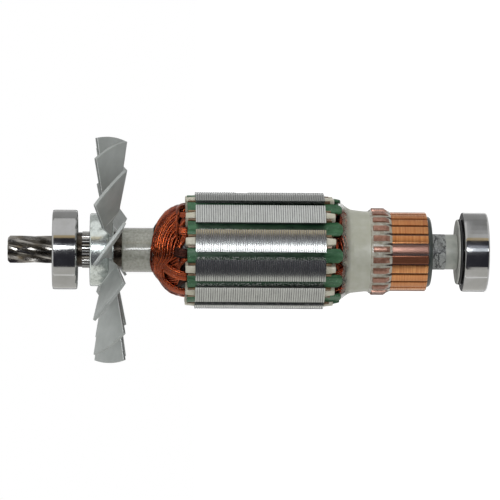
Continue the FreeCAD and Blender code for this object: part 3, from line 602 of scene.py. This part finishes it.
# The slots are scraped a little wider between the bars' outer parts
scraped_foot, scraped_top = 0.0152, 0.0161
kept_width = 0.93
for number in range(1, bar_count + 1):
    node_name = f"commutator_bar_{number:02d}"
    bar = softened_copy(node_name, 0.00012)
    bar_low, bar_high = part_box(node_name)
    middle = math.atan2((bar_low.y + bar_high.y) / 2, (bar_low.x + bar_high.x) / 2)
    for corner in bar.data.vertices:
        reach = Vector(corner.co.xy).length
        if scraped_foot < reach < scraped_top:
            aside = math.remainder(math.atan2(corner.co.y, corner.co.x) - middle, 2 * math.pi)
            turn = middle + kept_width * aside
            corner.co.x = reach * math.cos(turn)
            corner.co.y = reach * math.sin(turn)
    settle(bar, f"bar_{number:02d}", copper, "commutator_copper", node_name)


# Core
# A stack of stamped electrical-steel sheets, pressed together on the tube. One sheet is lifted
# off the frame's own end face, given its thickness and laid 58 times along the shaft, with a
# narrower drum inside the gaps, whose dark colour is varnish and painted shade.
core_low, core_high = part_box("core_stack")
sheet_count = 58
sheet_share = 0.7
sheet_pitch = (core_high.z - core_low.z) / sheet_count
sheet_gauge = sheet_pitch * sheet_share
groove_depth = 0.00025
bore_radius = 0.0095
scuff_scale = 170.0
core_steel, tree = new_finish("lamination_steel")
sheet = reckoned(tree, "MULTIPLY_ADD", own_parts(tree)["Z"], 1 / sheet_pitch, -core_low.z / sheet_pitch)
sheet = reckoned(tree, "FLOOR", sheet)
shift = add_node(tree, "ShaderNodeCombineXYZ", {"X": sheet, "Y": sheet}).outputs[0]
torn = reckoned_place(tree, "MULTIPLY_ADD", own_place(tree), (scuff_scale, scuff_scale, 0.0), shift)
dull = ramp(tree, clouds(tree, torn, 1.0, 2.0), 0.3, 0.62)
set_shader(tree, {
    "Base Color": between(tree, dull, (0.41, 0.42, 0.405, 1), (0.48, 0.495, 0.475, 1)),
    "Metallic": 1.0,
    "Roughness": 0.2,
})
# Varnish and painted shade: the drum in the gaps is painted much darker than the sheets.
gap_varnish_and_shade, tree = new_finish("lamination_gap_varnish_and_painted_shade")
set_shader(tree, {
    "Base Color": between(tree, patches(tree, 600), (0.14, 0.14, 0.145, 1), (0.26, 0.26, 0.255, 1)),
    "Metallic": 1.0,
    "Roughness": 0.4,
})


def draw_in(corner, share):
    """Moves a corner of a mesh to a share of its distance from the shaft's middle."""
    corner.co.x *= share
    corner.co.y *= share


core = opened_copy("core_stack", "core_sheets")
bpy.ops.mesh.remove_doubles(threshold=merge_distance)
bpy.ops.mesh.select_mode(type="FACE")
bpy.ops.mesh.select_all(action="DESELECT")
bpy.ops.object.mode_set(mode="OBJECT")
drum = bpy.data.objects.new("core_drum", core.data.copy())
bpy.context.collection.objects.link(drum)
for corner in drum.data.vertices:
    if Vector(corner.co.xy).length > bore_radius:
        draw_in(corner, (core_high.x - groove_depth) / core_high.x)
give_finish(drum, gap_varnish_and_shade)
give_finish(core, core_steel)
facing_rear = -0.9
for face in core.data.polygons:
    face.select = face.normal.z >= facing_rear
bpy.ops.object.mode_set(mode="EDIT")
bpy.ops.mesh.delete(type="FACE")
bpy.ops.mesh.select_all(action="SELECT")
bpy.ops.mesh.extrude_region_move(TRANSFORM_OT_translate={"value": (0, 0, sheet_gauge)})
bpy.ops.mesh.select_all(action="SELECT")
bpy.ops.mesh.normals_make_consistent(inside=False)
bpy.ops.object.mode_set(mode="OBJECT")
stack = core.modifiers.new("stack", "ARRAY")
stack.count = sheet_count
stack.use_relative_offset = False
stack.use_constant_offset = True
stack.constant_offset_displace = (0, 0, sheet_pitch * (sheet_count - sheet_share) / (sheet_count - 1))
bpy.ops.object.modifier_apply(modifier="stack")
bpy.ops.object.select_all(action="DESELECT")
drum.select_set(True)
core.select_set(True)
bpy.context.view_layer.objects.active = core
bpy.ops.object.join()
bpy.ops.object.shade_smooth_by_angle(angle=math.radians(30))

# A nick filed in one tooth to balance the armature
nick_low, nick_high, nick_depth = 0.0966, 0.1012, 0.0004
for corner in core.data.vertices:
    if nick_low < corner.co.z < nick_high:
        corner.co.x = min(corner.co.x, core_high.x - nick_depth)
settle(core, "laminated_core", None, "core_steel", "core_stack")


# End insulators
# Cream moulded insulators at both ends of the core, each a ring with an arm over every tooth.
# The arms keep the coils in their slots. Their tips narrow, and their corners are a little worn.
cream, tree = new_finish("cream_insulator")
stains = patches(tree, 380)
set_shader(tree, {
    "Base Color": between(tree, stains, (0.44, 0.42, 0.31, 1), (0.6, 0.58, 0.48, 1)),
    "Roughness": spread(tree, stains, 0.3, 0.55),
    "Coat Weight": 0.4,
    "Coat Roughness": 0.15,
    "Normal": bump(tree, patches(tree, 2500), 0.4, 0.00008),
})
slot_count = 12
slot_pitch = 360 / slot_count
tooth_turn = 9.8
arm_start = 0.014
taper_start = 0.45
tip_drop = 0.0004
wear = 0.00014
# The wear's noise is seeded here, since Blender seeds it from the clock
noise.seed_set(slot_count)
for end, taper in (("rear", 0.3), ("front", 0.12)):
    insulator = softened_copy(f"end_insulator_{end}", 0.00028)
    low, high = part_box(f"end_insulator_{end}")
    for corner in insulator.data.vertices:
        reach = Vector(corner.co.xy).length
        if reach > arm_start:
            turn = math.degrees(math.atan2(corner.co.y, corner.co.x)) - tooth_turn
            middle = round(turn / slot_pitch) * slot_pitch
            outwards = (corner.co.z - low.z) / (high.z - low.z)
            outwards = outwards if end == "front" else 1 - outwards
            squeeze = 1 - taper * max(0.0, outwards - taper_start) / (1 - taper_start)
            turn = math.radians(tooth_turn + middle + (turn - middle) * squeeze)
            reach -= tip_drop * outwards * outwards
            worn_off = noise.noise_vector(corner.co * 900) * wear
            corner.co.x = reach * math.cos(turn) + worn_off.x
            corner.co.y = reach * math.sin(turn) + worn_off.y
    settle(insulator, f"insulator_{end}", cream, "insulator_cream", f"end_insulator_{end}")


# Slot liners
# Folded brown insulating paper, one strip to a slot, turned out as a cuff past each end of the
# core. Its edges stand up on both sides of the wedge and are stiff with varnish.
paper_brown, tree = new_finish("varnished_paper")
set_shader(tree, {
    "Base Color": between(tree, patches(tree, 300), (0.09, 0.04, 0.014, 1), (0.27, 0.16, 0.065, 1)),
    "Roughness": spread(tree, patches(tree, 800), 0.3, 0.5),
    "Coat Weight": 0.3,
    "Coat Roughness": 0.2,
})
slot_turn = 24.8
edge_turn = 9.2
edge_radius = 0.0204
edge_height = 0.0034
edge_gauge = 0.0008
liners = opened_copy("slot_liners", "folded_liners")
for number in range(slot_count):
    for flank in (-1, 1):
        turn = math.radians(slot_turn + slot_pitch * number + edge_turn * flank)
        for start, length in ((core_low.z - 0.0022, 0.0023), (core_high.z - 0.0001, 0.0031)):
            spot = (edge_radius * math.cos(turn), edge_radius * math.sin(turn), start + length / 2)
            bpy.ops.mesh.primitive_cube_add(size=1, location=spot, rotation=(0, 0, turn),
                                            scale=(edge_height, edge_gauge, length))
bpy.ops.object.mode_set(mode="OBJECT")
bpy.ops.object.shade_smooth_by_angle(angle=math.radians(30))
settle(liners, "folded_liners", paper_brown, "liner_paper", "slot_liners")


# Slot wedges
# Strips of green vulcanised fibre driven under the tooth tips over the coils. They are square in
# front and end at the rear in a round tongue that bends in, and the varnish has dried in white
# specks on them.
wedge_green, tree = new_finish("green_fibre")
parts = own_parts(tree)
across = share_round(tree, parts, slot_count, 0.5 - slot_turn / slot_pitch)
lower_edge = ramp(tree, reckoned(tree, "FRACT", across), 0.47, 0.43)
fibre = patches(tree, 700, stretch=(1, 1, 0.25))
drops = clouds(tree, own_place(tree), 2300.0, 2.0)
specks = ramp(tree, drops, 0.66, 0.74)
crust = reckoned(tree, "MULTIPLY", ramp(tree, drops, 0.5, 0.58), lower_edge)
past_rear = ramp(tree, parts["Z"], core_low.z + 0.0012, core_low.z - 0.0002)
past_front = ramp(tree, parts["Z"], core_high.z - 0.0012, core_high.z + 0.0002)
bare = reckoned(tree, "MAXIMUM", past_rear, past_front)
leaf = between(tree, fibre, (0.022, 0.08, 0.034, 1), (0.055, 0.16, 0.075, 1))
leaf = between(tree, specks, leaf, (0.3, 0.45, 0.35, 1))
# Painted shade: within the core, under the tooth tips, the wedges are painted a much darker green, with
# white specks along one edge.
slot_shade_and_specks = between(tree, fibre, (0.005, 0.026, 0.012, 1), (0.016, 0.058, 0.025, 1))
slot_shade_and_specks = between(tree, crust, slot_shade_and_specks, (0.4, 0.42, 0.4, 1))
set_shader(tree, {
    "Base Color": between(tree, bare, slot_shade_and_specks, leaf),
    "Roughness": spread(tree, fibre, 0.25, 0.45),
    "Specular IOR Level": 0.3,
    "Normal": bump(tree, drops, 0.35, 0.0001),
})
tongue_start = core_low.z - 0.001
tongue_bend = 0.07
for number in range(1, slot_count + 1):
    node_name = f"slot_wedge_{number:02d}"
    wedge = softened_copy(node_name, 0.00018)
    tongue_length = tongue_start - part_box(node_name)[0].z
    for corner in wedge.data.vertices:
        past_slot = max(0.0, (tongue_start - corner.co.z) / tongue_length)
        draw_in(corner, 1 - tongue_bend * past_slot ** 2)
    settle(wedge, f"wedge_{number:02d}", wedge_green, "wedge_green", node_name)


# Winding
# Twelve coils of enamelled copper wire, wound one after another through slots five apart and
# dipped in varnish. Each crosses both ends of the core as a flat bundle, past the tube.
def wire_tones(tree, first, second):
    """A tone of its own for each wire."""
    island = add_node(tree, "ShaderNodeNewGeometry").outputs["Random Per Island"]
    return between(tree, island, first, second)


enamel, tree = new_finish("varnished_winding_wire")
at_front = ramp(tree, own_parts(tree)["Z"], 0.060, 0.066)
front_tones = wire_tones(tree, (0.15, 0.022, 0.007, 1), (0.46, 0.09, 0.025, 1))
set_shader(tree, {
    "Base Color": between(tree, at_front, (0.19, 0.032, 0.011, 1), front_tones),
    "Metallic": 1.0,
    "Roughness": spread(tree, patches(tree, 420, stretch=(1, 1, 0.6)), 0.14, 0.34),
    "Coat Weight": 0.35,
    "Coat Roughness": 0.03,
    "Coat Normal": bump(tree, patches(tree, 1500, detail=2.0), 0.7, 0.0002),
})
# Painted shade: a near-black finish for the coil that lies in a deep gap under two others.
painted_shade_enamel, tree = new_finish("winding_wire_painted_shade")
set_shader(tree, {
    "Base Color": wire_tones(tree, (0.008, 0.003, 0.002, 1), (0.05, 0.010, 0.004, 1)),
    "Metallic": 0.8,
    "Roughness": spread(tree, patches(tree, 500), 0.2, 0.4),
})
# Painted shade for the hearts of the heads, under the wires.
heart_painted_shade, tree = new_finish("painted_shade_in_hearts")
set_shader(tree, {
    "Base Color": between(tree, patches(tree, 900), (0.004, 0.002, 0.002, 1), (0.03, 0.008, 0.005, 1)),
    "Roughness": spread(tree, patches(tree, 900), 0.3, 0.6),
})

wire_radius = 0.00044
wires_in_layer = 10
layer_lift = 0.0006
coil_steps = 40
coil_reach = math.radians(75)
coil_spread = 0.18
flank_turn = 0.18
inner_side = 0.0097
bundle_width, bundle_opening = 0.0046, 0.0040
opening_start, opening_length = 0.75, 0.5
steep_flank, flat_flank = 0.9, 0.4
sharpest_bend = 1.35
bent_before, bent_after, bend_power = 0.56, 0.42, 1.3
widest, widest_share = 0.0183, 0.8
last_coil_arch = 0.0004
# Meridians of the two heads, from the tube outwards and down to the core: (radius, height)
front_meridian = [
    (0.0093, 0.1356), (0.0104, 0.1341), (0.0122, 0.1328), (0.0140, 0.1313), (0.0156, 0.1298),
    (0.0169, 0.1282), (0.0178, 0.1266), (0.0183, 0.1250), (0.01862, 0.1233), (0.01865, 0.1212),
    (0.0180, 0.1180)]
rear_meridian = [
    (0.0094, 0.0534), (0.0125, 0.0543), (0.0150, 0.0557), (0.0169, 0.0575), (0.0180, 0.0594),
    (0.0185, 0.0610), (0.0186, 0.0628), (0.0180, 0.0660)]


def run_along(meridian, share):
    """Radius and height a share of the way down a meridian."""
    place = max(0.0, min(share, 1.0)) * (len(meridian) - 1)
    first = min(int(place), len(meridian) - 2)
    part = place - first
    (radius, height), (next_radius, next_height) = meridian[first], meridian[first + 1]
    return radius + (next_radius - radius) * part, height + (next_height - height) * part


def share_at(meridian, radius):
    """How far down a meridian it first reaches a radius."""
    for index in range(len(meridian) - 1):
        inner, outer = meridian[index][0], meridian[index + 1][0]
        if inner <= radius <= outer:
            return (index + (radius - inner) / (outer - inner)) / (len(meridian) - 1)
    return widest_share


def ease(share):
    """A share from zero to one, slow at both ends."""
    share = max(0.0, min(share, 1.0))
    return share * share * (3 - 2 * share)


def stray(size, *place):
    """A smooth wander by up to a size, given by a place in the noise."""
    return size * noise.noise(Vector(place))


def wind_coil(meridian, middle, depth, side, seed):
    """The wires of one coil over a head: a flat band that passes by the tube, then out to its slots."""
    wires = []
    for layer in range(2):
        for number in range(wires_in_layer):
            share = (number + 0.5 * layer) / wires_in_layer
            path = []
            for step in range(coil_steps + 1):
                along = 2 * step / coil_steps - 1
                around = (coil_reach + (0.5 - share) * coil_spread) * math.sin(along * math.pi / 2)
                opening = ease((around + opening_start) / opening_length)
                offset = inner_side + (bundle_width + bundle_opening * opening) * share
                bend = (around + flank_turn) * (steep_flank if around > -flank_turn else flat_flank)
                down = share_at(meridian, min(offset / math.cos(min(abs(bend), sharpest_bend)), widest))
                bent_at = bent_after if along > 0 else bent_before
                down += (1 - down) * ease((abs(along) - bent_at) / (1 - bent_at)) ** bend_power
                down = max(0.0, min(down + stray(0.025, around * 1.1, share * 1.2, seed), 1.0))
                radius, height = run_along(meridian, down)
                sunk = depth + layer_lift * layer + stray(0.00022, around * 1.5, share * 5, seed + 40)
                lean = down * math.pi / 2
                radius -= sunk * math.sin(lean)
                height -= side * sunk * math.cos(lean)
                if not depth:
                    height += side * last_coil_arch * (1 - along * along)
                turn = middle + around + stray(0.02, around * 1.5, share * 1.5, seed + 80)
                height += stray(0.00016, around * 7, share * 30, seed + 120)
                radius += stray(0.00016, around * 7, share * 30, seed + 160)
                path.append((radius * math.cos(turn), radius * math.sin(turn), height))
            wires.append(path)
    return wires


def wire_piece(name, paths, finish):
    """Round wires along lists of points, as one mesh that is a piece of the winding."""
    line = bpy.data.curves.new(name, "CURVE")
    line.dimensions = "3D"
    line.bevel_depth = wire_radius
    line.bevel_resolution = 1
    line.use_fill_caps = True
    for path in paths:
        strand = line.splines.new("POLY")
        strand.points.add(len(path) - 1)
        for point, spot in zip(strand.points, path):
            point.co = (*spot, 1)
        strand.use_smooth = True
    lone_object(name, line)
    bpy.ops.object.convert(target="MESH")
    settle(bpy.context.object, name, finish, "winding_copper", "armature_winding")


last_coil = math.radians(-80.2)
lift_step = 0.00042
# One coil of each head, under two others, gets the near-black finish, as painted shade.
shaded_coil_order = 3
for head, meridian, side in (("front", front_meridian, 1), ("rear", rear_meridian, -1)):
    paths, shaded_coil_paths = [], []
    for order in range(slot_count // 2):
        coils_over = slot_count // 2 - 1 - order
        for half in range(2):
            middle = last_coil + coils_over * math.radians(slot_pitch) + half * math.pi
            seed = order * 3.1 + half * 17 + side
            coil = wind_coil(meridian, middle, coils_over * lift_step, side, seed)
            if order == shaded_coil_order:
                shaded_coil_paths += coil
            else:
                paths += coil
    wire_piece(f"coil_head_{head}", paths, enamel)
    wire_piece(f"painted_shade_coils_{head}", shaded_coil_paths, painted_shade_enamel)

# A near-black solid fills the hearts of both heads under the wires, as painted shade.
for end, heart in (
    ("front", [(tube_radius, 0.1178), (0.0150, 0.1178), (0.0153, 0.1220), (0.0150, 0.1245), (0.0140, 0.1265),
               (0.0122, 0.1285), (0.0104, 0.1308), (0.0095, 0.1322), (tube_radius, 0.1326)]),
    ("rear", [(tube_radius, 0.0476), (0.0150, 0.0476), (0.0152, 0.0540), (0.0152, 0.0575), (0.0154, 0.0600),
              (0.0154, 0.0620), (0.0152, 0.0661), (tube_radius, 0.0661)]),
):
    piece = turn_profile(heart, steps=96)
    settle(piece, f"coil_heart_{end}", heart_painted_shade, "winding_copper", "armature_winding")

# The two wires to each bar run slantwise from the rear head to the bar's hook
leads = []
bar_turn = 3
bar_pitch = 360 / bar_count
lead_pitch = 3
lead_slant = math.radians(22)
lead_steps = 12
lead_foot, lead_run = 0.0485, 0.0100
lead_radius, lead_spread, lead_lift = 0.0151, 0.0013, 0.0002
for number in range(bar_count):
    for half in range(2):
        start = math.radians(bar_turn + bar_pitch * number + lead_pitch * half - lead_pitch / 2)
        path = []
        for step in range(lead_steps + 1):
            share = step / lead_steps
            turn = start + lead_slant * ease(share) + stray(0.03, share * 3, number, half)
            radius = lead_radius + lead_spread * share + lead_lift * half
            path.append((radius * math.cos(turn), radius * math.sin(turn), lead_foot + lead_run * share))
        leads.append(path)
wire_piece("bar_leads", leads, enamel)


# Resin
# Milky casting resin poured over the leads from the hooks to the rear coils. It fills the gaps
# between the hooks, and ends in an uneven edge where it soaked into the wires.
milky, tree = new_finish("milky_casting_resin")
cloudy = patches(tree, 330)
to_edge = ramp(tree, own_parts(tree)["Z"], 0.0556, 0.0588)
thin = reckoned(tree, "MULTIPLY", to_edge, spread(tree, cloudy, 0.7, 1.5))
set_shader(tree, {
    "Base Color": between(tree, cloudy, (0.375, 0.38, 0.30, 1), (0.425, 0.43, 0.365, 1)),
    "Roughness": 0.45,
    "Coat Weight": 0.25,
    "Coat Roughness": 0.25,
    "Alpha": spread(tree, thin, 1.0, 0.12),
    "Normal": bump(tree, patches(tree, 260), 0.3, 0.0003),
})
low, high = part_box("resin_coat")
casting = turn_profile([
    (0.0150, low.z - 0.0004), (0.0165, low.z - 0.0004), (0.0162, low.z + 0.0008), (0.0162, low.z + 0.0020),
    (0.0164, low.z + 0.0042), (0.0168, 0.0548), (0.0174, 0.0562), (0.0182, 0.0574), (0.0191, 0.0584),
    (0.0199, 0.0593), (0.0197, 0.0595), (0.0186, 0.0587), (0.0170, 0.0575), (0.0156, low.z + 0.0070)],
    rounding=0.0002, steps=180)
for corner in casting.data.vertices:
    turn = math.atan2(corner.co.y, corner.co.x)
    nearness = ease((corner.co.z - low.z - 0.005) / 0.005)
    rag = stray(0.0007, math.cos(turn) * 4, math.sin(turn) * 4, 3)
    rag += stray(0.0004, math.cos(turn) * 13, math.sin(turn) * 13, 9)
    corner.co.z += rag * nearness
    draw_in(corner, 1 + stray(0.006, *(corner.co * 300)))
settle(casting, "resin_casting", milky, "resin_clear", "resin_coat")

# The film over the risers, with a pointed notch in it at each slot between two bars, painted near black
# inside as painted shade
notch_tip = 0.0425
notch_length = 0.0031
notch_depth = 0.045
film, tree = new_finish("resin_between_hooks")
parts = own_parts(tree)
across = reckoned(tree, "FRACT", share_round(tree, parts, bar_count, -bar_turn / bar_pitch))
beside = reckoned(tree, "ABSOLUTE", reckoned(tree, "SUBTRACT", across, 0.5))
width = ramp(tree, parts["Z"], notch_tip - notch_length, notch_tip, 0.13, 0.0)
# Painted shade: inside each notch the film is painted near black.
notch = ramp(tree, reckoned(tree, "SUBTRACT", width, beside), -0.02, 0.02)
clear = between(tree, patches(tree, 600), (0.27, 0.24, 0.18, 1), (0.43, 0.425, 0.36, 1))
set_shader(tree, {
    "Base Color": between(tree, notch, clear, (0.03, 0.01, 0.006, 1)),
    "Roughness": 0.25,
    "Coat Weight": 0.8,
    "Coat Roughness": 0.05,
    "Normal": bump(tree, patches(tree, 900), 0.5, 0.0003),
})
fillet = turn_profile([
    (0.0156, 0.0391), (0.0160, 0.0392), (0.0163, 0.0397), (0.0165, 0.0403), (0.0167, 0.0410),
    (0.01685, 0.0420), (0.01685, 0.0430), (0.01685, 0.0473), (0.0164, 0.0478), (0.0156, 0.0478)],
    rounding=0.0001, steps=240)
for corner in fillet.data.vertices:
    swell = 1 + stray(0.010, *(corner.co * 700))
    turn = math.degrees(math.atan2(corner.co.y, corner.co.x))
    aside = abs((turn - bar_turn) % bar_pitch - bar_pitch / 2)
    notch_half = 2.0 * max(0.0, min((notch_tip - corner.co.z) / notch_length, 1.0))
    if aside < notch_half:
        swell -= notch_depth * (1 - aside / max(notch_half, 0.01))
    draw_in(corner, swell)
settle(fillet, "resin_fillet", film, "resin_clear", "resin_coat")


# Fan hub
# A small die casting with a mottled grey skin. It is pressed on the shaft's knurl, and its
# spigot goes through the fan and is staked over it.
hub_metal, tree = new_finish("cast_hub_metal")
skin = patches(tree, 420)
grime = reckoned(tree, "MULTIPLY", skin, patches(tree, 1300, detail=6.0))
set_shader(tree, {
    "Base Color": between(tree, grime, (0.67, 0.72, 0.69, 1), (0.34, 0.365, 0.345, 1)),
    "Metallic": 0.9,
    "Roughness": spread(tree, skin, 0.18, 0.24),
})
settle(softened_copy("fan_hub", 0.0003), "hub_casting", hub_metal, "hub_metal", "fan_hub")


# Fan
# Stamped from one satin aluminium sheet. Each of its twelve blades is twisted at the neck. The
# sheared edges are rough and painted darker than the rolled faces, partly as painted shade, and
# their narrow rounded corners are painted bright as a painted highlight.
aluminium, tree = new_finish("satin_aluminium_sheet")
set_shader(tree, {
    "Base Color": between(tree, patches(tree, 180), (0.315, 0.335, 0.322, 1), (0.372, 0.394, 0.38, 1)),
    "Metallic": 0.35,
    "Roughness": spread(tree, patches(tree, 1500), 0.42, 0.55),
})
# Rough sheared edges and painted shade: the edges are painted darker than the rolled faces.
sheared_edge_and_shade, tree = new_finish("sheared_aluminium_edge_and_painted_shade")
set_shader(tree, {
    "Base Color": between(tree, patches(tree, 900), (0.13, 0.14, 0.135, 1), (0.21, 0.22, 0.215, 1)),
    "Metallic": 0.4,
    "Roughness": spread(tree, patches(tree, 1500), 0.4, 0.55),
})
# Painted highlight: the narrow rounded corners of the edges are painted bright.
corner_painted_highlight, tree = new_finish("aluminium_corner_painted_highlight")
set_shader(tree, {
    "Base Color": between(tree, patches(tree, 900), (0.6, 0.62, 0.61, 1), (0.74, 0.76, 0.75, 1)),
    "Metallic": 0.5,
    "Roughness": spread(tree, patches(tree, 1500), 0.3, 0.4),
})
blades = softened_copy("fan", 0.00015, angle=35)
settle(blades, "fan_sheet", aluminium, "fan_aluminium", "fan")
blades.data.materials.append(sheared_edge_and_shade)
blades.data.materials.append(corner_painted_highlight)
# Narrow faces along the edges get the darker edge finish, and the narrowest, the rounded corners, get the
# painted highlight.
edge_width, corner_width, least_outline = 0.0014, 0.0003, 0.012
for face in blades.data.polygons:
    corners = [blades.data.vertices[corner].co for corner in face.vertices]
    outline = sum((corners[index] - corners[index - 1]).length for index in range(len(corners)))
    width = 2 * face.area / outline
    if outline > least_outline and width < edge_width:
        face.material_index = 2 if width < corner_width else 1
